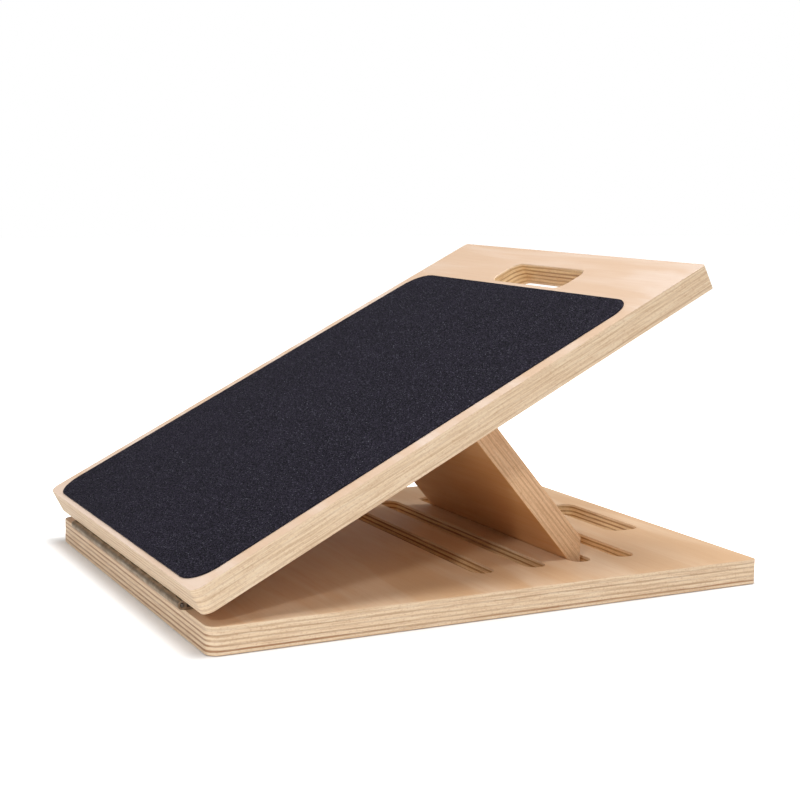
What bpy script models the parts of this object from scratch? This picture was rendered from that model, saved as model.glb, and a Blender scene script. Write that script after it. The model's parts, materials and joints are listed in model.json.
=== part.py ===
"""Slant board: two plywood boards on a continuous hinge, with a hinged support
board that stands in one of four grooves and sets the slope.

Metres, +Z up. +Y runs from the hinge edge to the high edge, +X across the board.
The slant board stands in its third groove.
"""
import math

import bmesh
import bpy
from mathutils import Matrix

# --- Boards ---------------------------------------------------------------
BOARD_W = 0.330
BASE_L = 0.418
TOP_L = 0.416
BOARD_T = 0.018
CORNER_R_FRONT = 0.008
CORNER_R_REAR = 0.003
EDGE_ROUND = 0.0012
FLOOR_GAP = 0.0006          # the feet lift the base by this much
FRONT_Y = -0.20414          # front face of the base, from the object's middle
BASE_TOP = FLOOR_GAP + BOARD_T

# --- Hand slots -----------------------------------------------------------
SLOT_L = 0.100
SLOT_W = 0.028
SLOT_R = 0.009
BASE_SLOT_IN = 0.0325       # slot centre to the rear end of the base
TOP_SLOT_IN = 0.0369        # slot centre to the high end of the top board
TOP_SLOT_X = 0.0025

# --- Grooves for the support's foot ---------------------------------------
GROOVE_Y = (0.219, 0.261, 0.2992, 0.3365)
GROOVE_L = 0.242
GROOVE_W = 0.017
GROOVE_D = 0.009

# --- Continuous hinges ----------------------------------------------------
LEAF_T = 0.0014
LEAF_W = 0.0195             # hinge axis to the leaf's free edge
BARREL_R = 0.0030
BORE_R = 0.0015
PIN_R = 0.0012
FIT = 0.0003                # running gap around moving and touching metal
AXIS_OUT = BARREL_R + FIT   # hinge axis to the wood it is screwed to
FRONT_HINGE_L = 0.2457
FRONT_KNUCKLES = 21
FRONT_SET = 0.0015          # hinge axis in front of the boards' front faces
SUPPORT_HINGE_L = 0.1755
SUPPORT_KNUCKLES = 15
SUPPORT_HINGE_U = 0.2229    # front hinge axis to support hinge axis

# --- Slope and support board ----------------------------------------------
TILT = math.radians(27.1)
SUPPORT_W = 0.204
SUPPORT_X = 0.009
SUPPORT_T = 0.018
LEAN = math.radians(40.6)   # support board off the vertical, foot to the rear
FOOT_REAR_Y = 0.3015        # upright back of the foot, from the base's front face
HEAD_FRONT = 0.0010
HEAD_REAR = 0.0110

# --- Grip sheet -----------------------------------------------------------
GRIP_T = 0.0006
GRIP_SIDE = 0.011
GRIP_FRONT = 0.0037
GRIP_REAR = 0.0561
GRIP_R_REAR = 0.020
GRIP_R_FRONT = 0.020

# --- Screws and feet ------------------------------------------------------
SCREW_HEAD_R = 0.0029
SCREW_R = 0.0014
SCREW_L = 0.0125
SINK_D = 0.0018             # countersink depth, through the leaf and into the wood
SCREW_OFF = 0.0120          # hinge axis to screw line
FRONT_SCREWS = (-0.108, -0.054, 0.0, 0.054, 0.108)
SUPPORT_SCREWS = (-0.072, -0.024, 0.024, 0.072)
PAD_R = 0.010
PAD_T = 0.0018
PAD_SINK = 0.0015
PAD_X = 0.137
PAD_Y = (0.030, 0.388)

AXIS_Z = BASE_TOP + AXIS_OUT
AXIS_Y = FRONT_Y - FRONT_SET

# Profile axes: curve x -> part y, curve y -> part z, curve z -> part x.
ALONG_X = Matrix(((0, 0, 1, 0), (1, 0, 0, 0), (0, 1, 0, 0), (0, 0, 0, 1)))


def clear_scene():
    for obj in list(bpy.data.objects):
        bpy.data.objects.remove(obj, do_unlink=True)


def new_collection(name):
    old = bpy.data.collections.get(name)
    if old:
        bpy.data.collections.remove(old)
    coll = bpy.data.collections.new(name)
    bpy.context.scene.collection.children.link(coll)
    return coll


def make_material(name, colour, roughness, metallic=0.0):
    mat = bpy.data.materials.new(name)
    mat.use_nodes = True
    bsdf = mat.node_tree.nodes["Principled BSDF"]
    bsdf.inputs["Base Color"].default_value = (*colour, 1.0)
    bsdf.inputs["Roughness"].default_value = roughness
    bsdf.inputs["Metallic"].default_value = metallic
    return mat


def arc(cx, cy, r, start, end, steps):
    """Points on an arc, angles in degrees, both ends included."""
    pts = []
    for i in range(steps + 1):
        a = math.radians(start + (end - start) * i / steps)
        pts.append((cx + r * math.cos(a), cy + r * math.sin(a)))
    return pts


def rounded_rect(x0, x1, y0, y1, r_low, r_high, steps=5):
    """Counter-clockwise outline with one radius at y0 and another at y1."""
    pts = arc(x1 - r_low, y0 + r_low, r_low, -90, 0, steps)
    pts += arc(x1 - r_high, y1 - r_high, r_high, 0, 90, steps)
    pts += arc(x0 + r_high, y1 - r_high, r_high, 90, 180, steps)
    pts += arc(x0 + r_low, y0 + r_low, r_low, 180, 270, steps)
    return pts


def stadium(length, width, cy, steps=10):
    """A slot outline along x, with round ends, centred on x = 0."""
    r = width / 2
    half = length / 2 - r
    return arc(half, cy, r, -90, 90, steps) + arc(-half, cy, r, 90, 270, steps)


def board_outline(y0, y1):
    """Outline of a board, tighter at its rear corners."""
    return rounded_rect(-BOARD_W / 2, BOARD_W / 2, y0, y1, CORNER_R_FRONT, CORNER_R_REAR)


def hand_slot(cx, cy):
    """Outline of a hand slot."""
    return rounded_rect(cx - SLOT_L / 2, cx + SLOT_L / 2, cy - SLOT_W / 2, cy + SLOT_W / 2,
                        SLOT_R, SLOT_R, 8)


def outline_mesh(name, outlines, thickness):
    """Fill a flat outline, give it thickness, and weld it into one mesh."""
    curve = bpy.data.curves.new(name + "_outline", "CURVE")
    curve.dimensions = "2D"
    curve.fill_mode = "BOTH"
    curve.extrude = thickness / 2
    for pts in outlines:
        spline = curve.splines.new("POLY")
        spline.points.add(len(pts) - 1)
        for point, (x, y) in zip(spline.points, pts):
            point.co = (x, y, 0.0, 1.0)
        spline.use_cyclic_u = True
    obj = bpy.data.objects.new(name + "_outline", curve)
    bpy.context.scene.collection.objects.link(obj)
    bpy.context.view_layer.update()
    evaluated = obj.evaluated_get(bpy.context.evaluated_depsgraph_get())
    mesh = bpy.data.meshes.new_from_object(evaluated)
    mesh.transform(obj.matrix_world)
    bpy.data.objects.remove(obj, do_unlink=True)
    bpy.data.curves.remove(curve)
    bm = bmesh.new()
    bm.from_mesh(mesh)
    bmesh.ops.remove_doubles(bm, verts=bm.verts, dist=1e-6)
    bmesh.ops.recalc_face_normals(bm, faces=bm.faces)
    bm.to_mesh(mesh)
    bm.free()
    mesh.name = name
    return mesh


def plate(name, outlines, z_low, z_high):
    """A flat piece lying in x and y, from z_low to z_high."""
    mesh = outline_mesh(name, outlines, z_high - z_low)
    mesh.transform(Matrix.Translation((0.0, 0.0, (z_low + z_high) / 2)))
    return mesh


def extrusion(name, outlines, length, x_mid=0.0):
    """A y-z profile run along x."""
    mesh = outline_mesh(name, outlines, length)
    mesh.transform(ALONG_X)
    mesh.transform(Matrix.Translation((x_mid, 0.0, 0.0)))
    return mesh


def add_part(name, mesh, mat, parent=None, location=(0, 0, 0), rotation=(0, 0, 0)):
    obj = bpy.data.objects.new(name, mesh)
    obj.parent = parent
    obj.location = location
    obj.rotation_euler = rotation
    PARTS.objects.link(obj)
    if not mesh.materials:
        mesh.materials.append(mat)
    return obj


def add_cutter(name, mesh, parent=None, location=(0, 0, 0), rotation=(0, 0, 0)):
    obj = bpy.data.objects.new(name, mesh)
    obj.parent = parent
    obj.location = location
    obj.rotation_euler = rotation
    obj.hide_render = True
    obj.display_type = "WIRE"
    CUTTERS.objects.link(obj)
    return obj


def cut(obj, cutter):
    mod = obj.modifiers.new(cutter.name, "BOOLEAN")
    mod.operation = "DIFFERENCE"
    mod.solver = "EXACT"
    mod.object = cutter


def round_edges(obj, width, segments=2):
    mod = obj.modifiers.new("round_edges", "BEVEL")
    mod.width = width
    mod.segments = segments
    mod.limit_method = "ANGLE"
    mod.angle_limit = math.radians(40)


def smooth_round(mesh, angle=30):
    mesh.shade_smooth()
    mesh.set_sharp_from_angle(angle=math.radians(angle))


def joined(name, meshes):
    """Several separate shapes in one mesh, for one cutter."""
    bm = bmesh.new()
    for mesh in meshes:
        bm.from_mesh(mesh)
    out = bpy.data.meshes.new(name)
    bm.to_mesh(out)
    bm.free()
    for mesh in meshes:
        bpy.data.meshes.remove(mesh)
    return out


def rod_mesh(name, radius, low, high, segments=24, matrix=None):
    """A round bar between low and high, along z unless placed by matrix."""
    bm = bmesh.new()
    bmesh.ops.create_cone(bm, cap_ends=True, segments=segments, radius1=radius,
                          radius2=radius, depth=high - low)
    bmesh.ops.translate(bm, verts=bm.verts, vec=(0.0, 0.0, (low + high) / 2))
    if matrix is not None:
        bmesh.ops.transform(bm, matrix=matrix, verts=bm.verts)
    mesh = bpy.data.meshes.new(name)
    bm.to_mesh(mesh)
    bm.free()
    smooth_round(mesh)
    return mesh


def hole_cutter(name, xs, matrix):
    """Countersunk screw holes in a row along x. matrix sets z = 0 on the leaf's open face."""
    shank = SCREW_R + FIT
    wide = SCREW_HEAD_R + FIT + 0.0001
    depth = SCREW_L + 0.0008
    meshes = []
    for x in xs:
        bm = bmesh.new()
        hole = bmesh.ops.create_cone(bm, cap_ends=True, segments=16, radius1=shank,
                                     radius2=shank, depth=depth - SINK_D)
        bmesh.ops.translate(bm, verts=hole["verts"], vec=(0.0, 0.0, -(depth + SINK_D) / 2))
        cap = [f for f in bm.faces if all(v.co.z > -SINK_D - 1e-6 for v in f.verts)]
        for spread, lift in ((wide / shank, SINK_D), (1.0, 0.001)):
            cap = bmesh.ops.extrude_discrete_faces(bm, faces=cap)["faces"]
            for vert in cap[0].verts:
                vert.co.x *= spread
                vert.co.y *= spread
                vert.co.z += lift
        place = Matrix.Translation((x, 0.0, 0.0)) @ matrix
        bmesh.ops.transform(bm, matrix=place, verts=bm.verts)
        mesh = bpy.data.meshes.new(name)
        bm.to_mesh(mesh)
        bm.free()
        meshes.append(mesh)
    return joined(name, meshes)


def leaf_profile():
    """Leaf and barrel in y-z about the hinge axis, the leaf lying towards +y at the bottom."""
    inner_z = -BARREL_R + LEAF_T
    meet = math.degrees(math.asin(inner_z / BARREL_R))
    outline = [(LEAF_W, -BARREL_R)]
    outline += [(LEAF_W, inner_z)]
    outline += arc(0.0, 0.0, BARREL_R, meet, 270, 22)
    bore = arc(0.0, 0.0, BORE_R, 360, 0, 16)[:-1]
    return [outline, bore]


def leaf_notches(name, length, knuckles, keep_even):
    """Boxes that clear the other leaf's knuckles from this leaf's barrel."""
    pitch = length / knuckles
    meshes = []
    for i in range(knuckles):
        if (i % 2 == 0) == keep_even:
            continue
        low = -length / 2 + i * pitch - FIT / 2
        high = low + pitch + FIT
        if i == 0:
            low -= 0.001
        if i == knuckles - 1:
            high += 0.001
        bm = bmesh.new()
        bmesh.ops.create_cube(bm, size=1.0)
        reach = BARREL_R + 0.0010
        front = BARREL_R + FIT
        bmesh.ops.scale(bm, verts=bm.verts, vec=(high - low, reach + front, 2 * reach))
        bmesh.ops.translate(bm, verts=bm.verts,
                            vec=((low + high) / 2, (front - reach) / 2, 0.0))
        mesh = bpy.data.meshes.new(name)
        bm.to_mesh(mesh)
        bm.free()
        meshes.append(mesh)
    return joined(name, meshes)


def hinge_leaf(name, parent, length, knuckles, keep_even, turn, screws, x_mid):
    """One leaf of a continuous hinge. turn is a matrix about the hinge axis."""
    mesh = extrusion(name, leaf_profile(), length)
    mesh.transform(turn)
    smooth_round(mesh, 40)
    leaf = add_part(name, mesh, METAL, parent, location=(x_mid, 0.0, 0.0))
    notches = leaf_notches(name + "_notches", length, knuckles, keep_even)
    notches.transform(turn)
    cut(leaf, add_cutter(name + "_notches", notches, parent, location=(x_mid, 0.0, 0.0)))
    cut(leaf, screws)
    return leaf


def pin(name, parent, length, x_mid):
    """A hinge pin along x, with domed ends."""
    profile = bpy.data.meshes.new(name)
    half = length / 2
    pts = [(0.0, half), (PIN_R * 0.55, half - 0.00015), (PIN_R, half - 0.0007),
           (PIN_R, -half + 0.0007), (PIN_R * 0.55, -half + 0.00015), (0.0, -half)]
    edges = [(i, i + 1) for i in range(len(pts) - 1)]
    profile.from_pydata([(x, 0.0, z) for x, z in pts], edges, [])
    obj = add_part(name, profile, METAL_PIN, parent, location=(x_mid, 0.0, 0.0),
                   rotation=(0.0, math.radians(90), 0.0))
    turned(obj, 16)
    return obj


def turned(obj, steps):
    mod = obj.modifiers.new("turned", "SCREW")
    mod.axis = "Z"
    mod.angle = math.radians(360)
    mod.steps = steps
    mod.render_steps = steps
    mod.use_merge_vertices = True
    mod.merge_threshold = 0.00001
    mod.use_smooth_shade = True


def screw_profile():
    """Half section of a countersunk wood screw, head top at z = 0."""
    mesh = bpy.data.meshes.new("screw_profile")
    neck = -(SCREW_HEAD_R - SCREW_R) - 0.0002
    pts = [(0.0, 0.0), (SCREW_HEAD_R, 0.0), (SCREW_HEAD_R, -0.0002), (SCREW_R, neck),
           (SCREW_R, -SCREW_L + 0.003), (0.0, -SCREW_L)]
    edges = [(i, i + 1) for i in range(len(pts) - 1)]
    mesh.from_pydata([(x, 0.0, z) for x, z in pts], edges, [])
    mesh.materials.append(METAL_SCREW)
    return mesh


def empty(name, parent, location, rotation):
    obj = bpy.data.objects.new(name, None)
    obj.empty_display_size = 0.03
    obj.parent = parent
    obj.location = location
    obj.rotation_euler = rotation
    PARTS.objects.link(obj)
    return obj


clear_scene()
PARTS = new_collection("slant_board")
CUTTERS = new_collection("cutters")

PLY_BASE = make_material("birch_plywood_base", (0.77, 0.58, 0.42), 0.55)
PLY_TOP = make_material("birch_plywood_top", (0.78, 0.60, 0.44), 0.55)
PLY_SUPPORT = make_material("birch_plywood_support", (0.72, 0.52, 0.36), 0.55)
GRIP = make_material("grip_sheet_black", (0.028, 0.028, 0.036), 0.8)
METAL = make_material("hinge_steel", (0.42, 0.38, 0.34), 0.42, 1.0)
METAL_PIN = make_material("hinge_pin_steel", (0.36, 0.33, 0.30), 0.40, 1.0)
METAL_SCREW = make_material("screw_steel", (0.50, 0.47, 0.43), 0.35, 1.0)
RUBBER = make_material("foot_rubber", (0.03, 0.03, 0.03), 0.85)

half_w = BOARD_W / 2
upright = (0.0, 0.0, 0.0)

# --- Joint axes -------------------------------------------------------------
base_axis = empty("front_hinge_axis", None, (0.0, AXIS_Y, AXIS_Z), upright)
tilt_axis = empty("board_tilt_axis", None, (0.0, AXIS_Y, AXIS_Z), (TILT, 0.0, 0.0))
support_axis = empty("support_swing_axis", tilt_axis, (0.0, SUPPORT_HINGE_U, 0.0),
                     (LEAN - TILT, 0.0, 0.0))
support_rest = empty("support_hinge_axis", tilt_axis, (0.0, SUPPORT_HINGE_U, 0.0), upright)

# --- Base board ---------------------------------------------------------------
base = add_part("base_board",
                plate("base_board", [board_outline(0.0, BASE_L)], 0.0, BOARD_T),
                PLY_BASE, location=(0.0, FRONT_Y, FLOOR_GAP))
round_edges(base, EDGE_ROUND)
grooves = [plate("groove", [stadium(GROOVE_L, GROOVE_W, y)], BOARD_T - GROOVE_D,
                 BOARD_T + 0.002) for y in GROOVE_Y]
cut(base, add_cutter("base_grooves", joined("base_grooves", grooves),
                     location=base.location))
base_slot = plate("base_slot", [hand_slot(0.0, BASE_L - BASE_SLOT_IN)], -0.002, BOARD_T + 0.002)
cut(base, add_cutter("base_slot", base_slot, location=base.location))
recesses = []
for x in (-PAD_X, PAD_X):
    for y in PAD_Y:
        recesses.append(rod_mesh("recess", PAD_R + FIT, -0.002, PAD_SINK, 32,
                                 Matrix.Translation((x, y, 0.0))))
cut(base, add_cutter("pad_recesses", joined("pad_recesses", recesses),
                     location=base.location))

for side, x in (("left", -PAD_X), ("right", PAD_X)):
    for end, y in (("front", PAD_Y[0]), ("rear", PAD_Y[1])):
        name = f"foot_pad_{end}_{side}"
        add_part(name, rod_mesh(name, PAD_R, 0.0, PAD_T, 32), RUBBER,
                 location=(x, FRONT_Y + y, 0.0))

# --- Top board, in its own frame: y along the board, z through it --------------
top_front = FRONT_SET
top = add_part("top_board",
               plate("top_board", [board_outline(top_front, top_front + TOP_L)],
                     AXIS_OUT, AXIS_OUT + BOARD_T), PLY_TOP, tilt_axis)
round_edges(top, EDGE_ROUND)
top_slot = plate("top_slot", [hand_slot(TOP_SLOT_X, top_front + TOP_L - TOP_SLOT_IN)],
                 AXIS_OUT - 0.002, AXIS_OUT + BOARD_T + 0.002)
cut(top, add_cutter("top_slot", top_slot, tilt_axis))

grip_low = AXIS_OUT + BOARD_T + FIT
add_part("grip_sheet",
         plate("grip_sheet", [rounded_rect(-half_w + GRIP_SIDE, half_w - GRIP_SIDE,
                                           top_front + GRIP_FRONT,
                                           top_front + TOP_L - GRIP_REAR,
                                           GRIP_R_FRONT, GRIP_R_REAR, 8)],
               grip_low, grip_low + GRIP_T), GRIP, tilt_axis)

# --- Hinge leaves: about its axis, a leaf as drawn lies towards +y on the low side ---
TURN_X = Matrix.Rotation(math.radians(180), 4, "X")
TURN_Y = Matrix.Rotation(math.radians(180), 4, "Y")
QUARTER_X = Matrix.Rotation(math.radians(90), 4, "X")
AS_DRAWN = Matrix.Identity(4)       # on the base, towards the rear
ON_BOARD = TURN_Y                   # under the top board, towards the rear
UNDER_BOARD = TURN_X                # under the top board, towards the front
ON_SUPPORT = QUARTER_X.inverted() @ TURN_Y      # down the support's front face
SCREW_SPOT = Matrix.Translation((0.0, SCREW_OFF, -BARREL_R + LEAF_T))


def screwed_leaf(name, parent, x_mid, length, knuckles, keep_even, turn, xs, board):
    """A leaf, its screw holes in leaf and board, and its screws."""
    places = [x_mid + x for x in xs]
    spot = turn @ SCREW_SPOT
    holes = add_cutter(name + "_holes", hole_cutter(name + "_holes", places, spot), parent)
    cut(board, holes)
    hinge_leaf(name, parent, length, knuckles, keep_even, turn, holes, x_mid)
    angles = spot.to_euler()
    for i, x in enumerate(places, start=1):
        screw = add_part(f"{name}_screw_{i}", SCREW_MESH, METAL_SCREW, parent,
                         (Matrix.Translation((x, 0.0, 0.0)) @ spot).to_translation(), angles)
        turned(screw, 16)


SCREW_MESH = screw_profile()

# --- Front continuous hinge -----------------------------------------------------
screwed_leaf("front_hinge_base_leaf", base_axis, 0.0, FRONT_HINGE_L, FRONT_KNUCKLES, True,
             AS_DRAWN, FRONT_SCREWS, base)
screwed_leaf("front_hinge_top_leaf", tilt_axis, 0.0, FRONT_HINGE_L, FRONT_KNUCKLES, False,
             ON_BOARD, FRONT_SCREWS, top)
pin("front_hinge_pin", base_axis, FRONT_HINGE_L + 0.001, 0.0)

# --- Support board, in its own frame: hinge axis at the origin, foot towards -z ---
near = AXIS_OUT
far = AXIS_OUT + SUPPORT_T
hinge_y = SUPPORT_HINGE_U * math.cos(TILT) - FRONT_SET
hinge_z = SUPPORT_HINGE_U * math.sin(TILT) + AXIS_Z
foot_z = BASE_TOP - GROOVE_D + FIT
cos_lean = math.cos(LEAN)
sin_lean = math.sin(LEAN)
toe = (hinge_z + near * sin_lean - foot_z) / cos_lean
heel_dy = FOOT_REAR_Y - hinge_y
heel_dz = foot_z - hinge_z
heel_low = (heel_dy * cos_lean + heel_dz * sin_lean, -heel_dy * sin_lean + heel_dz * cos_lean)
heel_high = (heel_dy - far * cos_lean) / sin_lean
side = [(near, -HEAD_FRONT), (near, -toe), heel_low, (far, -heel_high), (far, -HEAD_REAR)]
support = add_part("support_board", extrusion("support_board", [side], SUPPORT_W, SUPPORT_X),
                   PLY_SUPPORT, support_axis)
round_edges(support, 0.0006)

# --- Support hinge ----------------------------------------------------------------
screwed_leaf("support_hinge_board_leaf", support_rest, SUPPORT_X, SUPPORT_HINGE_L,
             SUPPORT_KNUCKLES, True, UNDER_BOARD, SUPPORT_SCREWS, top)
screwed_leaf("support_hinge_prop_leaf", support_axis, SUPPORT_X, SUPPORT_HINGE_L,
             SUPPORT_KNUCKLES, False, ON_SUPPORT, SUPPORT_SCREWS, support)
pin("support_hinge_pin", support_rest, SUPPORT_HINGE_L + 0.001, SUPPORT_X)
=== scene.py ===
import json
import math
import random
from collections import namedtuple

import bmesh
import bpy
from mathutils import Matrix, Vector


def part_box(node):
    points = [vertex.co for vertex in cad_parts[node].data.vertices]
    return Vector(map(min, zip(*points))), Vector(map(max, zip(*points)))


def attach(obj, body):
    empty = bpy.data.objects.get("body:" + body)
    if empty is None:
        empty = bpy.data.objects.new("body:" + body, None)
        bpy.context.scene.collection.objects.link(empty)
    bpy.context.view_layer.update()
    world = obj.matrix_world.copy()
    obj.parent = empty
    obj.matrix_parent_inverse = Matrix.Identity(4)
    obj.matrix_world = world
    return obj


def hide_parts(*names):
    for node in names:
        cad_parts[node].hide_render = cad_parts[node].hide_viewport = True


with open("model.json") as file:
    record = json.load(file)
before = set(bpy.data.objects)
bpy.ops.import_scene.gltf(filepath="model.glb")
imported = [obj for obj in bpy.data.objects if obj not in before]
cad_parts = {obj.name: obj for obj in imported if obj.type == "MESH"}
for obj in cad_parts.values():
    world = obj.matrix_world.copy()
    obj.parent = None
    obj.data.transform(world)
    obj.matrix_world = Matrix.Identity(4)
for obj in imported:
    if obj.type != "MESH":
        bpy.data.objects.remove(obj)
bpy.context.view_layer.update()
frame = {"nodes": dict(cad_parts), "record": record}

NODES = frame["nodes"]
MM = 0.001

# --- Plywood ------------------------------------------------------------------
PLIES = 11
PLY_WAVE = 1.0 * MM               # how far the glue lines wander, from lowest to highest
LIGHT_PLY = (0.88, 0.69, 0.48)
DARK_PLY = (0.40, 0.205, 0.10)
SIDE_CONTRAST = 0.50              # how much of the ply contrast is left along the sides
CUT_SHADE_CONTRAST = 0.55               # how much painted shade adds to it in the slots and grooves
CUT_SHADE_TINT = (0.99, 0.94, 0.76)     # the darker, warmer tint of painted shade on their walls
GROOVE_FLOOR_SHADE = (0.44, 0.23, 0.09)     # and the brown of painted shade on the grooves' floors
CUT_INSET = (14 * MM, 20 * MM)    # cut walls lie this far or more inside a board's outline
CUT_DEPTH = (1.0 * MM, 2.0 * MM)  # and this far or more below its faces
VENEER_FULL = 0.12 * MM           # the face veneer covers the edges down to here
VENEER_GONE = 0.34 * MM           # and has faded out here
# Painted shade: the boards' undersides are tinted darker and warmer, for the warm bounce light
# in the shade below the top board.
UNDERSIDE_SHADE_TINT = (1.0, 0.89, 0.72)
SLOT_ROUND = 1.3 * MM             # rounding round the hand slots
GROOVE_ROUND = 0.45 * MM          # and round the grooves
SLOT_REACH_X = 60 * MM            # the hand slots lie inside this half width
SLOT_REACH_Y = 56 * MM            # and this far from the rear end
GROOVES_FROM = 190 * MM           # the grooves lie further than this from the front end

# Each board: its piece, node, body and material slot, the seed of its grain, the colour of
# its veneer, the contrast of its plies, how far the lowest dark ply stands out along the
# sides, and a tint over all its edges.
Board = namedtuple("Board", "piece node body slot seed face contrast lowest edge_tint")
BOARDS = (
    Board("base_board_plywood", "base_board", "base", "plywood_base", 3.0,
          (0.79, 0.57, 0.375), 1.3, 1.7, (1.0, 0.98, 0.96)),
    Board("top_board_plywood", "top_board", "board", "plywood_top", 11.0,
          (0.79, 0.61, 0.48), 0.48, 3.4, (1.0, 0.98, 0.96)),
    # The support's veneer colour and edge tint are darker and redder than the other boards':
    # partly its own colour, and partly painted shade for the shade it stands in under the top
    # board.
    Board("support_board_plywood", "support_board", "support", "plywood_support", 23.0,
          (0.76, 0.48, 0.26), 0.75, 1.0, (0.95, 0.79, 0.65)),
)

# --- Grip sheet ---------------------------------------------------------------
GRIP_CORNER_R = 20 * MM
GRIT_PITCH = 1.15 * MM
GRIT_TALL = 0.16 * MM
GRIT_SEED = 71
BINDER = ((0.0020, 0.0018, 0.0048), (0.0038, 0.0030, 0.0075))   # the black between the grains
GRAIN = (0.038, 0.032, 0.052)
# A painted highlight: the bright colour given to grains that seem to glint.
PAINTED_GLINT = (0.13, 0.13, 0.16)
GLINT_CELLS = 1900                # grit cells along a metre; a few of them get a painted glint

# --- Screws -------------------------------------------------------------------
SCREW_HEAD_R = 2.9 * MM
SCREW_CORE_R = 0.95 * MM
SCREW_THREAD_R = 1.4 * MM
SCREW_TIP_R = 0.12 * MM
HEAD_FLAT_R = SCREW_HEAD_R * 0.94
HEAD_CHAMFER = 0.12 * MM          # the head is full width from here
HEAD_LAND = 0.30 * MM             # down to here, and then tapers to the core
RECESS_REACH = SCREW_HEAD_R * 0.52
RECESS_ARM = SCREW_HEAD_R * 0.15  # half the width of the cross's arms
RECESS_DEPTH = SCREW_HEAD_R * 0.5
RECESS_TAPER = 0.55               # the cross at its bottom, against its top
SCREW_POINT = 3.2 * MM            # length of the tapered point
THREAD_PITCH = 1.2 * MM
THREAD_STEPS = 12                 # steps to a turn
THREAD_FROM_TIP = 1.9 * MM
THREAD_FROM_HEAD = 1.2 * MM

# --- Hinges and feet ----------------------------------------------------------
KNUCKLE_ROUND = 0.18 * MM
FOOT_LIP = 0.5 * MM
TREAD_DEPTH = 0.25 * MM

# --- Set ----------------------------------------------------------------------
PAPER = (0.90, 0.90, 0.90)
WHITE = (1.0, 1.0, 1.0)
BURNT_OUT_AT = 42 * MM            # this far from the base the floor shows as pure white
GLOW = (0.08, 0.9)                # the floor's own glow at the base, and where burnt out
SURROUND_LIGHT = 0.25             # what the surround gives, where the camera sees it as 1
LIGHT_AIM = Vector((0.0, 0.0, 0.1))
CAMERA_PLACE = (0.995593, -0.507641, 0.283617)
CAMERA_TURN = (81.838, -0.877, 62.764)
CAMERA_LENS = 68.3916

# Each light: its azimuth and elevation in degrees, distance and width in metres, and watts.
Softbox = namedtuple("Softbox", "name azimuth elevation distance width power")
SOFTBOXES = (
    Softbox("key_softbox", -45, 25, 2.6, 0.24, 15.5),
    Softbox("front_softbox", -80, 30, 2.6, 1.2, 4.5),
    Softbox("right_softbox", -10, 35, 2.6, 1.2, 3.5),
    Softbox("rear_softbox", 80, 52, 2.4, 0.6, 14.5),
    Softbox("ceiling_softbox", 0, 85, 2.6, 1.5, 46.0),
)


# ==============================================================================
# Node helpers
# ==============================================================================
class Finish:
    """A material and short ways to add nodes to it."""

    def __init__(self, name, roughness=0.5, metallic=0.0):
        self.mat = bpy.data.materials.new(name)
        self.mat.use_nodes = True
        self.tree = self.mat.node_tree
        self.shader = self.tree.nodes["Principled BSDF"]
        self.shader.inputs["Roughness"].default_value = roughness
        self.shader.inputs["Metallic"].default_value = metallic

    def add(self, kind, **values):
        node = self.tree.nodes.new(kind)
        for key, value in values.items():
            setattr(node, key, value)
        return node

    def link(self, out, into):
        self.tree.links.new(out, into)

    def put(self, value, into):
        """Feeds a socket from another node, or sets it to a plain value."""
        if isinstance(value, bpy.types.NodeSocket):
            self.link(value, into)
        else:
            into.default_value = value

    def coords(self, output):
        return self.add("ShaderNodeTexCoord").outputs[output]

    def mapped(self, vector, turn=(0, 0, 0), scale=(1, 1, 1), move=(0, 0, 0)):
        node = self.add("ShaderNodeMapping")
        self.link(vector, node.inputs["Vector"])
        node.inputs["Location"].default_value = move
        node.inputs["Rotation"].default_value = turn
        node.inputs["Scale"].default_value = scale
        return node.outputs["Vector"]

    def split(self, vector):
        """The vector's x, y and z."""
        node = self.add("ShaderNodeSeparateXYZ")
        self.link(vector, node.inputs[0])
        return node.outputs["X"], node.outputs["Y"], node.outputs["Z"]

    def math(self, operation, a, b=0.0, c=0.0, clamp=False):
        node = self.add("ShaderNodeMath", operation=operation, use_clamp=clamp)
        for value, socket in zip((a, b, c), node.inputs):
            self.put(value, socket)
        return node.outputs[0]

    def noise(self, vector, scale=1.0, detail=2.0, rough=0.5, distortion=0.0):
        node = self.add("ShaderNodeTexNoise")
        self.link(vector, node.inputs["Vector"])
        node.inputs["Scale"].default_value = scale
        node.inputs["Detail"].default_value = detail
        node.inputs["Roughness"].default_value = rough
        node.inputs["Distortion"].default_value = distortion
        return node.outputs["Fac"]

    def ramp(self, fac, low, high, a=0.0, b=1.0):
        """Maps fac from low..high to a..b, with soft ends."""
        node = self.add("ShaderNodeMapRange", clamp=True, interpolation_type="SMOOTHSTEP")
        for value, name in ((fac, "Value"), (low, "From Min"), (high, "From Max"),
                            (a, "To Min"), (b, "To Max")):
            self.put(value, node.inputs[name])
        return node.outputs["Result"]

    def mix(self, fac, a, b, blend="MIX"):
        node = self.add("ShaderNodeMix", data_type="RGBA", blend_type=blend)
        self.put(fac, node.inputs[0])
        for value, socket in ((a, node.inputs[6]), (b, node.inputs[7])):
            self.put(value if isinstance(value, bpy.types.NodeSocket) else (*value, 1.0),
                     socket)
        return node.outputs[2]

    def bump(self, height, strength, distance):
        node = self.add("ShaderNodeBump")
        node.inputs["Strength"].default_value = strength
        node.inputs["Distance"].default_value = distance
        self.link(height, node.inputs["Height"])
        return node.outputs["Normal"]

    def use(self, colour, roughness, normal):
        self.link(colour, self.shader.inputs["Base Color"])
        self.link(roughness, self.shader.inputs["Roughness"])
        self.link(normal, self.shader.inputs["Normal"])
        return self.mat


def tinted(colour, red, green, blue, most=1.0):
    """A colour with its channels scaled, and none of them over most."""
    return tuple(min(c * k, most) for c, k in zip(colour, (red, green, blue)))


def darkened(colour, factor):
    return tinted(colour, factor, factor, factor)


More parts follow.
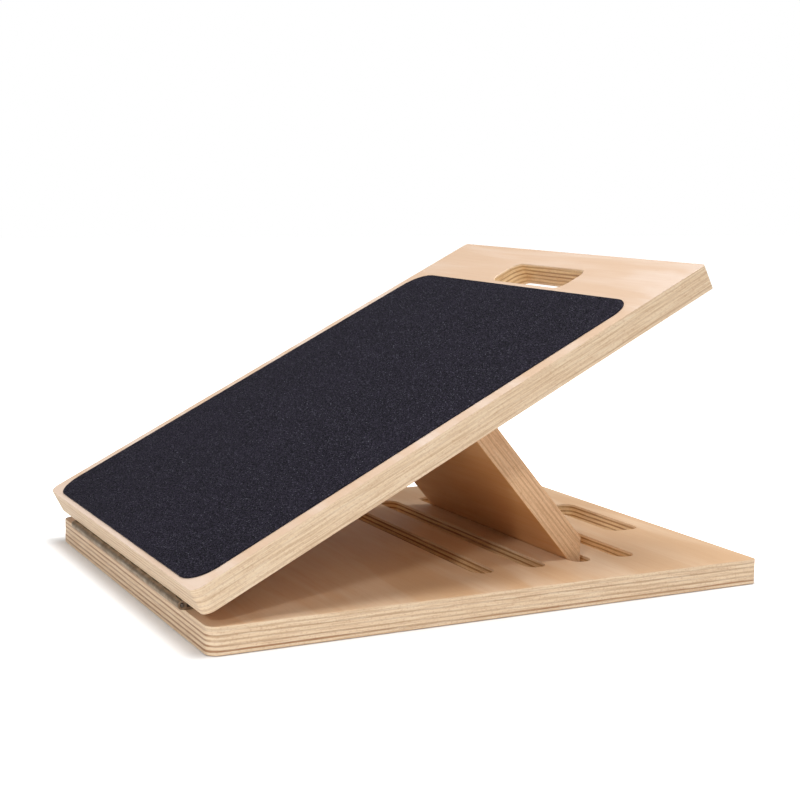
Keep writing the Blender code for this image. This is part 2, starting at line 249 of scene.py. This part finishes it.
# ==============================================================================
# Finishes
# ==============================================================================
def face_veneer(f, own, face, seed):
    """A soft wide figure, fine streaks along x and short dark pores. Returns the colour and
    these three patterns."""
    figure = f.noise(f.mapped(own, scale=(5, 34, 34), move=(seed, seed, 0)),
                     detail=3.0, rough=0.55, distortion=0.6)
    streak = f.noise(f.mapped(own, scale=(16, 420, 420), move=(0, seed, 0)),
                     detail=3.0, rough=0.6)
    pore = f.noise(f.mapped(own, scale=(90, 1500, 1500), move=(seed, 0, 0)), detail=1.0)
    colour = f.mix(f.ramp(figure, 0.36, 0.64),
                   tinted(face, 0.94, 0.86, 0.76), tinted(face, 1.03, 1.05, 1.08))
    colour = f.mix(f.ramp(streak, 0.42, 0.75, 0.0, 0.22), colour,
                   tinted(face, 0.86, 0.74, 0.62))
    colour = f.mix(f.ramp(pore, 0.66, 0.80, 0.0, 0.28), colour,
                   tinted(face, 0.66, 0.50, 0.38))
    return colour, figure, streak, pore


def ply_layers(f, own, height, ply_thickness, seed):
    """Dark plies between light ones, a little wavy, each dark to its own degree. Returns how
    dark a point's ply is, the ply's number from below, and the point's place within it."""
    wave = f.noise(f.mapped(own, scale=(11, 11, 90), move=(seed, 0, 0)), detail=3.0)
    wavy = f.math("MULTIPLY_ADD", wave, PLY_WAVE, -PLY_WAVE / 2)
    count = f.math("DIVIDE", f.math("ADD", height, wavy), ply_thickness)
    index = f.math("FLOOR", count)
    within = f.math("FRACT", count)
    # An even number is added because a wavy lowest ply may count as -1.
    odd = f.math("MODULO", f.math("ADD", index, 40.0), 2.0)
    own_tone = f.add("ShaderNodeTexWhiteNoise", noise_dimensions="1D")
    f.link(f.math("ADD", index, seed + 0.5), own_tone.inputs["W"])
    dark = f.math("MULTIPLY", odd, f.ramp(own_tone.outputs["Value"], 0.0, 1.0, 0.55, 1.0))
    from_below = f.ramp(within, 0.0, 0.26)
    from_above = f.ramp(within, 0.74, 1.0, 1.0, 0.0)
    dark = f.math("MULTIPLY", dark, f.math("MULTIPLY", from_below, from_above))
    return dark, index, within


def cut_surfaces(f, own, size):
    """1 on the walls and floors of the slots and grooves, 0 on the outline and the faces."""
    across, along, height = f.split(own)
    from_end = f.math("MINIMUM", along, f.math("SUBTRACT", size.y, along))
    from_side = f.math("SUBTRACT", size.x / 2, f.math("ABSOLUTE", across))
    from_face = f.math("MINIMUM", height, f.math("SUBTRACT", size.z, height))
    return f.math("MULTIPLY", f.ramp(f.math("MINIMUM", from_end, from_side), *CUT_INSET),
                  f.ramp(from_face, *CUT_DEPTH))


def ply_contrast(f, own, board, index, sideways, cut):
    """The plies show strongly across the front and rear edges, and softly along the sides,
    where the lowest dark ply still stands out. They fade in and out along their length, and
    in the slots and grooves they are darkened further as painted shade."""
    soft = f.math("MULTIPLY", f.ramp(index, 1.0, 3.0, board.lowest, 1.0),
                  board.contrast * SIDE_CONTRAST)
    strong = f.math("MULTIPLY", f.math("SUBTRACT", 1.0, sideways), board.contrast)
    contrast = f.math("ADD", f.math("MULTIPLY", sideways, soft), strong)
    fade = f.noise(f.mapped(own, scale=(9, 9, 420), move=(board.seed, 0, 0)))
    contrast = f.math("MULTIPLY", contrast, f.ramp(fade, 0.34, 0.62, 0.60, 1.15))
    # Painted shade: the cut walls get more ply contrast, so darker dark plies.
    return f.math("MULTIPLY_ADD", cut, CUT_SHADE_CONTRAST, contrast)


def ply_grain(f, own, dark, within, seed):
    """Sawn plies: brown and pale lines along them, brown flecks, and thin glue lines.
    Returns the colour, the lines and the flecks."""
    lines = f.noise(f.mapped(own, scale=(34, 34, 1250), move=(0, seed, 0)),
                    detail=4.0, rough=0.68)
    flecks = f.noise(f.mapped(own, scale=(520, 520, 800)), detail=3.0, rough=0.75)
    glue = f.ramp(f.math("ABSOLUTE", f.math("SUBTRACT", within, 0.5)), 0.44, 0.5, 0.0, 0.06)
    colour = f.mix(dark, LIGHT_PLY, DARK_PLY)
    colour = f.mix(f.ramp(lines, 0.47, 0.62, 0.0, 0.50), colour,
                   tinted(LIGHT_PLY, 0.64, 0.51, 0.40))
    colour = f.mix(f.ramp(lines, 0.36, 0.46, 0.60, 0.0), colour,
                   tinted(LIGHT_PLY, 1.08, 1.14, 1.24, most=0.93))
    colour = f.mix(f.ramp(flecks, 0.50, 0.68, 0.0, 0.32), colour,
                   tinted(DARK_PLY, 1.2, 1.1, 1.0))
    colour = f.mix(glue, colour, darkened(DARK_PLY, 0.55))
    return colour, lines, flecks


def birch_plywood(board, lie, size):
    """Birch plywood, drawn in the board's own frame: x across it, y along it, and z up
    through its plies."""
    f = Finish(board.slot, roughness=0.5)
    turn = (-lie.to_euler("XYZ").x, 0, 0)
    own = f.mapped(f.coords("Object"), turn=turn, move=lie.inverted().to_translation())
    height = f.split(own)[2]
    facing_x, _, facing_z = f.split(f.mapped(f.coords("Normal"), turn=turn))
    veneer, figure, streak, pore = face_veneer(f, own, board.face, board.seed)

    dark, index, within = ply_layers(f, own, height, size.z / PLIES, board.seed)
    cut = cut_surfaces(f, own, size)
    sideways = f.ramp(f.math("ABSOLUTE", facing_x), 0.2, 0.9)
    contrast = ply_contrast(f, own, board, index, sideways, cut)
    ply, lines, flecks = ply_grain(f, own, f.math("MULTIPLY", dark, contrast, clamp=True),
                                   within, board.seed)
    # Painted shade: the walls of the slots and grooves are tinted darker and warmer.
    ply = f.mix(cut, ply, CUT_SHADE_TINT, blend="MULTIPLY")
    # Painted shade: the grooves' floors are turned a darker brown.
    floors = f.math("MULTIPLY", f.ramp(f.math("ABSOLUTE", facing_z), 0.70, 0.90), cut)
    ply = f.mix(floors, ply, f.mix(0.30, veneer, GROOVE_FLOOR_SHADE))
    ply = f.mix(1.0, ply, board.edge_tint, blend="MULTIPLY")

    # Painted shade: the veneer below the board's middle is tinted darker and warmer.
    underside = f.ramp(height, size.z * 0.4, size.z * 0.6, 1.0, 0.0)
    veneer = f.mix(underside, veneer, UNDERSIDE_SHADE_TINT, blend="MULTIPLY")
    from_middle = f.math("ABSOLUTE", f.math("SUBTRACT", height, size.z / 2))
    on_face = f.ramp(from_middle, size.z / 2 - VENEER_GONE, size.z / 2 - VENEER_FULL)
    rough = f.ramp(f.math("ADD", streak, figure), 0.7, 1.3, 0.44, 0.58)
    relief = f.math("ADD", f.math("MULTIPLY", pore, 0.5),
                    f.math("MULTIPLY", f.math("ADD", lines, flecks), 0.6))
    return f.use(f.mix(on_face, ply, veneer), rough, f.bump(relief, 0.22, 0.12 * MM))


def gritted_sheet():
    """Black sheet with mineral grit: dark purple-blue, with bright specks painted on a few
    grains as painted glints.
    """
    f = Finish("gritted_sheet", roughness=0.72)
    f.shader.inputs["Specular IOR Level"].default_value = 0.13
    own = f.coords("Object")
    cells = f.add("ShaderNodeTexVoronoi", voronoi_dimensions="3D")
    f.link(own, cells.inputs["Vector"])
    cells.inputs["Scale"].default_value = GLINT_CELLS
    pick = f.add("ShaderNodeSeparateColor")
    f.link(cells.outputs["Color"], pick.inputs[0])
    cloud = f.noise(own, scale=14, detail=3.0, rough=0.6)
    fine = f.noise(own, scale=900, detail=3.0, rough=0.8)
    colour = f.mix(f.ramp(cloud, 0.35, 0.7), *BINDER)
    colour = f.mix(f.ramp(fine, 0.49, 0.60), colour, GRAIN)
    # Painted glints: a few grit cells get a bright colour, as if they caught the light.
    colour = f.mix(f.ramp(pick.outputs[0], 0.972, 0.992), colour, PAINTED_GLINT)
    rough = f.ramp(pick.outputs[1], 0.0, 1.0, 0.50, 0.88)
    relief = f.math("MULTIPLY_ADD", pick.outputs[2], 0.6, fine)
    return f.use(colour, rough, f.bump(relief, 0.55, 0.22 * MM))


def worn_steel(name, colour, dull, roughness, fineness=1.0):
    """Plated steel gone dull, with a brown bloom and fine drawn lines along x."""
    f = Finish(name, roughness=roughness, metallic=1.0)
    own = f.coords("Object")
    bloom = f.noise(own, scale=75 * fineness, detail=5.0, rough=0.7)
    drawn = f.noise(f.mapped(own, scale=(60, 2600, 2600)))
    tone = f.mix(f.ramp(bloom, 0.36, 0.72, 0.05, 0.65), colour, dull)
    tone = f.mix(f.ramp(drawn, 0.4, 0.7, 0.0, 0.25), tone, darkened(dull, 0.55))
    rough = f.ramp(bloom, 0.3, 0.7, roughness - 0.08, roughness + 0.20)
    return f.use(tone, rough, f.bump(f.math("ADD", drawn, bloom), 0.18, 0.06 * MM))


def moulded_rubber():
    """Black rubber, dusty in places and finely pitted."""
    f = Finish("moulded_rubber", roughness=0.8)
    own = f.coords("Object")
    dust = f.noise(own, scale=90, detail=4.0, rough=0.6)
    pits = f.noise(own, scale=2600, rough=0.6)
    colour = f.mix(f.ramp(dust, 0.45, 0.75, 0.0, 0.7),
                   (0.022, 0.022, 0.023), (0.060, 0.057, 0.052))
    return f.use(colour, f.ramp(dust, 0.3, 0.7, 0.70, 0.92), f.bump(pits, 0.4, 0.05 * MM))


# ==============================================================================
# Mesh helpers
# ==============================================================================
def cad_points(node):
    return [v.co.copy() for v in NODES[node].data.vertices]


def corners(points):
    """The lowest and highest corner of the points' box."""
    return (Vector([min(p[i] for p in points) for i in range(3)]),
            Vector([max(p[i] for p in points) for i in range(3)]))


def board_frame(node):
    """A board's own frame, from its widest flat, and the board's size in it. The frame has
    x across the board, y along it from its front end, and z up from its underside."""
    widest = max(NODES[node].data.polygons, key=lambda p: p.area)
    normal = widest.normal if widest.normal.z > 0 else -widest.normal
    turn = Matrix.Rotation(math.atan2(-normal.y, normal.z), 4, "X")
    low, high = corners([turn.inverted() @ p for p in cad_points(node)])
    return turn @ Matrix.Translation((0.0, low.y, low.z)), high - low


def verts_in(geom):
    return [part for part in geom if isinstance(part, bmesh.types.BMVert)]


def open_edges_in(geom):
    return [part for part in geom if isinstance(part, bmesh.types.BMEdge) and part.is_boundary]


def solid_piece(name, bm, finish, body, node, sharp=35, weighted=False):
    """Turns a finished bmesh, already in place, into a piece that rides a body and stands
    for a node."""
    mesh = bpy.data.meshes.new(name)
    bm.to_mesh(mesh)
    bm.free()
    mesh.materials.append(finish)
    mesh.shade_smooth()
    mesh.set_sharp_from_angle(angle=math.radians(sharp))
    obj = bpy.data.objects.new(name, mesh)
    bpy.context.scene.collection.objects.link(obj)
    if weighted:
        mod = obj.modifiers.new("even_normals", "WEIGHTED_NORMAL")
        mod.keep_sharp = True
        mod.weight = 100
    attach(obj, body)
    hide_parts(node)


def merged_copy(node):
    """The node's CAD shape as a bmesh, with its loose triangles joined up again."""
    bm = bmesh.new()
    bm.from_mesh(NODES[node].data)
    bmesh.ops.remove_doubles(bm, verts=bm.verts, dist=0.004 * MM)
    bmesh.ops.dissolve_limit(bm, angle_limit=math.radians(0.4), verts=bm.verts, edges=bm.edges)
    return bm


def sharp_edges(bm, degrees):
    return [e for e in bm.edges
            if len(e.link_faces) == 2 and e.calc_face_angle(0.0) > math.radians(degrees)]


def rounded(bm, edges, width, segments, clamp):
    bmesh.ops.bevel(bm, geom=edges, offset=width, offset_type="OFFSET", segments=segments,
                    profile=0.5, affect="EDGES", clamp_overlap=clamp, material=-1)


# ==============================================================================
# Boards
# ==============================================================================
def plywood_board(board, lie, thickness, finish):
    """A board with the rims of its slots and grooves eased by hand."""
    bm = merged_copy(board.node)
    bmesh.ops.transform(bm, matrix=lie.inverted(), verts=bm.verts)
    rear = max(v.co.y for v in bm.verts)

    def at_face(edge):
        return all(min(abs(v.co.z), abs(v.co.z - thickness)) < 0.02 * MM for v in edge.verts)

    def slot_rim(edge):
        return at_face(edge) and all(
            abs(v.co.x) < SLOT_REACH_X and v.co.y > rear - SLOT_REACH_Y for v in edge.verts)

    def groove_rim(edge):
        return at_face(edge) and all(
            GROOVES_FROM < v.co.y < rear - SLOT_REACH_Y and v.co.z > thickness / 2
            for v in edge.verts)

    rounded(bm, [e for e in sharp_edges(bm, 60) if slot_rim(e)], SLOT_ROUND, 4, clamp=True)
    if board.node == "base_board":
        rounded(bm, [e for e in sharp_edges(bm, 60) if groove_rim(e)], GROOVE_ROUND, 2,
                clamp=True)
    bmesh.ops.transform(bm, matrix=lie, verts=bm.verts)
    solid_piece(board.piece, bm, finish, board.body, board.node, weighted=True)


# ==============================================================================
# Grip sheet
# ==============================================================================
def round_corner(a, b):
    """Moves a point of a unit square's corner block onto a quarter disc."""
    return a * math.sqrt(1 - b * b / 2), b * math.sqrt(1 - a * a / 2)


def grip_sheet(lie, finish):
    """A fine grid with rounded corners and a relief of grit, closed by a wall and a back."""
    low, high = corners([lie.inverted() @ p for p in cad_points("grip_sheet")])
    size = high - low
    middle = (low + high) / 2
    bm = bmesh.new()
    bmesh.ops.create_grid(bm, x_segments=round(size.x / GRIT_PITCH),
                          y_segments=round(size.y / GRIT_PITCH), size=0.5)
    bmesh.ops.scale(bm, verts=bm.verts, vec=(size.x, size.y, 1.0))
    bmesh.ops.translate(bm, verts=bm.verts, vec=(middle.x, middle.y, high.z))
    grains = random.Random(GRIT_SEED)
    for v in bm.verts:
        side = 1 if v.co.x > middle.x else -1
        end = 1 if v.co.y > middle.y else -1
        centre_x = middle.x + side * (size.x / 2 - GRIP_CORNER_R)
        centre_y = middle.y + end * (size.y / 2 - GRIP_CORNER_R)
        a = (v.co.x - centre_x) * side / GRIP_CORNER_R
        b = (v.co.y - centre_y) * end / GRIP_CORNER_R
        if a > 0 and b > 0:
            a, b = round_corner(min(a, 1.0), min(b, 1.0))
            v.co.x = centre_x + a * side * GRIP_CORNER_R
            v.co.y = centre_y + b * end * GRIP_CORNER_R
        # Most grains are low and a few stand tall; the outermost row is pressed down.
        grain = grains.random() ** 3 - 0.5
        v.co.z += -GRIT_TALL if v.is_boundary else GRIT_TALL * grain
    rim = [e for e in bm.edges if e.is_boundary]
    wall = bmesh.ops.extrude_edge_only(bm, edges=rim)["geom"]
    for v in verts_in(wall):
        v.co.z = low.z
    bmesh.ops.contextual_create(bm, geom=open_edges_in(wall))
    bmesh.ops.recalc_face_normals(bm, faces=bm.faces)
    bmesh.ops.transform(bm, matrix=lie, verts=bm.verts)
    solid_piece("grip_sheet_gritted", bm, finish, "board", "grip_sheet", sharp=50)


# ==============================================================================
# Hardware
# ==============================================================================
def spun(profile, steps):
    """A closed solid turned about z from (radius, height) points, bottom to top."""
    bm = bmesh.new()
    verts = [bm.verts.new((r, 0.0, z)) for r, z in profile]
    edges = [bm.edges.new(pair) for pair in zip(verts, verts[1:])]
    bmesh.ops.spin(bm, geom=verts + edges, cent=(0, 0, 0), axis=(0, 0, 1),
                   angle=math.radians(360), steps=steps, use_merge=True)
    bmesh.ops.remove_doubles(bm, verts=bm.verts, dist=0.001 * MM)
    bmesh.ops.recalc_face_normals(bm, faces=bm.faces)
    return bm


def head_axis_length(node):
    """The middle of a screw's head, the way it faces and the screw's length."""
    points = cad_points(node)
    mean = sum(points, Vector()) / len(points)
    tip = max(points, key=lambda p: (p - mean).length)
    axis = (mean - tip).normalized()
    length = max((p - tip).dot(axis) for p in points)
    return tip + axis * length, axis, length


def cross_recess(bm):
    """A square with a cross pressed into it, for the middle of a head. Returns its rim."""
    bmesh.ops.create_grid(bm, x_segments=3, y_segments=3, size=0.5)
    for v in bm.verts:
        # The grid's outer lines lie at 0.5, and its inner lines well inside 0.3.
        v.co.x = math.copysign(RECESS_REACH if abs(v.co.x) > 0.3 else RECESS_ARM, v.co.x)
        v.co.y = math.copysign(RECESS_REACH if abs(v.co.y) > 0.3 else RECESS_ARM, v.co.y)
    cross = [face for face in bm.faces if min(abs(face.calc_center_median().x),
                                              abs(face.calc_center_median().y)) < 0.01 * MM]
    rim = [e for e in bm.edges if e.is_boundary]
    pressed = bmesh.ops.extrude_face_region(bm, geom=cross)["geom"]
    bmesh.ops.delete(bm, geom=cross, context="FACES_ONLY")
    for v in verts_in(pressed):
        v.co = (v.co.x * RECESS_TAPER, v.co.y * RECESS_TAPER, -RECESS_DEPTH)
    return rim


def add_thread(bm, low, high):
    """Winds a triangular ridge round the shank."""
    turns = (high - low) / THREAD_PITCH
    steps = round(turns * THREAD_STEPS)
    root = SCREW_CORE_R * 0.96
    half = THREAD_PITCH * 0.22
    ridge = [bm.verts.new((root, 0, low - half)), bm.verts.new((SCREW_THREAD_R, 0, low)),
             bm.verts.new((root, 0, low + half))]
    start = bm.faces.new(ridge)
    bmesh.ops.spin(bm, geom=[start, *start.edges, *ridge], cent=(0, 0, 0), axis=(0, 0, 1),
                   dvec=(0, 0, (high - low) / steps), angle=math.radians(360) * turns,
                   steps=steps)
    # The thread is a shell of its own, so its faces are gathered from its first one.
    thread = {start}
    grow = [start]
    while grow:
        for edge in grow.pop().edges:
            for face in edge.link_faces:
                if face not in thread:
                    thread.add(face)
                    grow.append(face)
    bmesh.ops.recalc_face_normals(bm, faces=list(thread))


def screw(node, body, finish):
    """A countersunk wood screw with a cross recess and a cut thread. It is built head up,
    with the top of its head at the origin."""
    head, axis, length = head_axis_length(node)
    bm = bmesh.new()
    square = cross_recess(bm)
    circle = bmesh.ops.create_circle(bm, cap_ends=False, segments=24, radius=HEAD_FLAT_R)
    ring = [e for e in bm.edges if all(v in circle["verts"] for v in e.verts)]
    bmesh.ops.bridge_loops(bm, edges=square + ring)
    cone_end = -HEAD_LAND - (SCREW_HEAD_R - SCREW_CORE_R)
    for radius, level in ((SCREW_HEAD_R, -HEAD_CHAMFER), (SCREW_HEAD_R, -HEAD_LAND),
                          (SCREW_CORE_R, cone_end), (SCREW_CORE_R, -length + SCREW_POINT),
                          (SCREW_TIP_R, -length + 0.05 * MM)):
        drawn = bmesh.ops.extrude_edge_only(bm, edges=ring)["geom"]
        for v in verts_in(drawn):
            flat = Vector((v.co.x, v.co.y)).normalized() * radius
            v.co = (flat.x, flat.y, level)
        ring = open_edges_in(drawn)
    bmesh.ops.contextual_create(bm, geom=ring)
    bmesh.ops.recalc_face_normals(bm, faces=bm.faces)
    add_thread(bm, -length + THREAD_FROM_TIP, cone_end - THREAD_FROM_HEAD)
    place = Matrix.Translation(head) @ axis.to_track_quat("Z", "Y").to_matrix().to_4x4()
    bmesh.ops.transform(bm, matrix=place, verts=bm.verts)
    solid_piece(node + "_cross_head", bm, finish, body, node, sharp=40)


def hinge_leaf(node, body, finish):
    """A leaf with its knuckle ends and sheet edges eased."""
    bm = merged_copy(node)
    rounded(bm, sharp_edges(bm, 50), KNUCKLE_ROUND, 2, clamp=False)
    bmesh.ops.dissolve_degenerate(bm, edges=bm.edges, dist=0.003 * MM)
    solid_piece(node + "_rolled", bm, finish, body, node, weighted=True)


def hinge_pin(node, body, finish):
    """A drawn pin with peened ends."""
    low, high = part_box(node)
    radius = (high.z - low.z) / 2
    half = (high.x - low.x) / 2
    peen = [(0.0, -half), (0.45 * radius, -half), (0.8 * radius, -half + 0.12 * MM),
            (0.97 * radius, -half + 0.4 * MM), (radius, -half + 0.8 * MM)]
    bm = spun(peen + [(r, -z) for r, z in reversed(peen)], steps=32)
    place = Matrix.Translation((low + high) / 2) @ Matrix.Rotation(math.radians(90), 4, "Y")
    bmesh.ops.transform(bm, matrix=place, verts=bm.verts)
    solid_piece(node + "_peened", bm, finish, body, node)


def foot_pad(node, body, finish):
    """A moulded rubber foot with a rolled rim and two raised rings on its tread."""
    low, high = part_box(node)
    radius = (high.x - low.x) / 2
    tall = high.z - low.z
    profile = [(0.0, TREAD_DEPTH), (0.30 * radius, TREAD_DEPTH), (0.36 * radius, 0.0),
               (0.46 * radius, 0.0), (0.52 * radius, TREAD_DEPTH),
               (0.66 * radius, TREAD_DEPTH), (0.72 * radius, 0.0), (radius - FOOT_LIP, 0.0)]
    profile += [(radius - FOOT_LIP + FOOT_LIP * math.sin(math.radians(t)),
                 FOOT_LIP - FOOT_LIP * math.cos(math.radians(t))) for t in (30, 60, 90)]
    profile += [(radius, tall - 0.2 * MM), (radius - 0.2 * MM, tall), (0.0, tall)]
    bm = spun(profile, steps=48)
    middle = (low + high) / 2
    bmesh.ops.translate(bm, verts=bm.verts, vec=(middle.x, middle.y, low.z))
    solid_piece(node + "_moulded", bm, finish, body, node)


# ==============================================================================
# Set
# ==============================================================================
def white_paper():
    """Paper that is burnt out to white a little way from the base. Its glow is for the
    camera only, so it lights nothing."""
    f = Finish("white_paper_floor", roughness=0.9)
    f.shader.inputs["Base Color"].default_value = (*PAPER, 1.0)
    f.shader.inputs["Specular IOR Level"].default_value = 0.1
    f.shader.inputs["Emission Color"].default_value = (*WHITE, 1.0)
    low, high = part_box("base_board")
    x, y, _ = f.split(f.mapped(f.coords("Object"), move=-(low + high) / 2))
    out_x = f.math("SUBTRACT", f.math("ABSOLUTE", x), (high.x - low.x) / 2)
    out_y = f.math("SUBTRACT", f.math("ABSOLUTE", y), (high.y - low.y) / 2)
    glow = f.ramp(f.math("MAXIMUM", out_x, out_y), 0.0, BURNT_OUT_AT, *GLOW)
    seen = f.add("ShaderNodeLightPath").outputs["Is Camera Ray"]
    f.link(f.math("MULTIPLY", glow, seen), f.shader.inputs["Emission Strength"])
    return f.mat


def paper_floor():
    bm = bmesh.new()
    bmesh.ops.create_grid(bm, x_segments=1, y_segments=1, size=6.0)
    mesh = bpy.data.meshes.new("floor")
    bm.to_mesh(mesh)
    bm.free()
    mesh.materials.append(white_paper())
    floor = bpy.data.objects.new("floor", mesh)
    bpy.context.scene.collection.objects.link(floor)


def surround():
    """White where the camera sees it, and only a weak fill light on the object."""
    world = bpy.data.worlds.new("surround")
    bpy.context.scene.world = world
    world.use_nodes = True
    nodes = world.node_tree.nodes
    background = nodes["Background"]
    background.inputs["Color"].default_value = (*WHITE, 1.0)
    rays = nodes.new("ShaderNodeLightPath")
    level = nodes.new("ShaderNodeMapRange")
    level.inputs["To Min"].default_value = SURROUND_LIGHT
    level.inputs["To Max"].default_value = 1.0
    world.node_tree.links.new(rays.outputs["Is Camera Ray"], level.inputs["Value"])
    world.node_tree.links.new(level.outputs["Result"], background.inputs["Strength"])


def softbox(light):
    azimuth = math.radians(light.azimuth)
    elevation = math.radians(light.elevation)
    way = Vector((math.cos(elevation) * math.cos(azimuth),
                  math.cos(elevation) * math.sin(azimuth), math.sin(elevation)))
    data = bpy.data.lights.new(light.name, "AREA")
    data.shape = "DISK"
    data.size = light.width
    data.energy = light.power
    lamp = bpy.data.objects.new(light.name, data)
    lamp.location = LIGHT_AIM + way * light.distance
    lamp.rotation_euler = way.to_track_quat("Z", "Y").to_euler()
    bpy.context.scene.collection.objects.link(lamp)


def camera():
    data = bpy.data.cameras.new("camera")
    data.lens = CAMERA_LENS
    data.sensor_width = 36.0
    data.clip_start = 0.01
    obj = bpy.data.objects.new("camera", data)
    obj.location = CAMERA_PLACE
    obj.rotation_euler = [math.radians(a) for a in CAMERA_TURN]
    bpy.context.scene.collection.objects.link(obj)
    bpy.context.scene.camera = obj


# ==============================================================================
# Build
# ==============================================================================
for board in BOARDS:
    lie, size = board_frame(board.node)
    plywood_board(board, lie, size.z, birch_plywood(board, lie, size))
grip_sheet(board_frame("top_board")[0], gritted_sheet())

# Painted reflection and shade: the leaves' steel is coloured tan, standing in for the wood that
# it reflects, and darkened for the shade between the boards.
leaf_steel = worn_steel("leaf_steel", (0.47, 0.37, 0.27), (0.20, 0.135, 0.085), 0.46)
pin_steel = worn_steel("pin_steel", (0.30, 0.27, 0.24), (0.12, 0.10, 0.08), 0.46, 2.0)
screw_steel = worn_steel("screw_steel", (0.58, 0.54, 0.47), (0.42, 0.36, 0.28), 0.34, 2.0)
rubber = moulded_rubber()
for body, members in frame["record"]["behaviour"]["bodies"].items():
    for node in members:
        if "screw" in node:
            screw(node, body, screw_steel)
        elif node.endswith("_leaf"):
            hinge_leaf(node, body, leaf_steel)
        elif node.endswith("_pin"):
            hinge_pin(node, body, pin_steel)
        elif node.startswith("foot_pad"):
            foot_pad(node, body, rubber)

camera()
paper_floor()
surround()
for light in SOFTBOXES:
    softbox(light)
bpy.context.scene.view_settings.view_transform = "Standard"
bpy.context.scene.view_settings.look = "None"
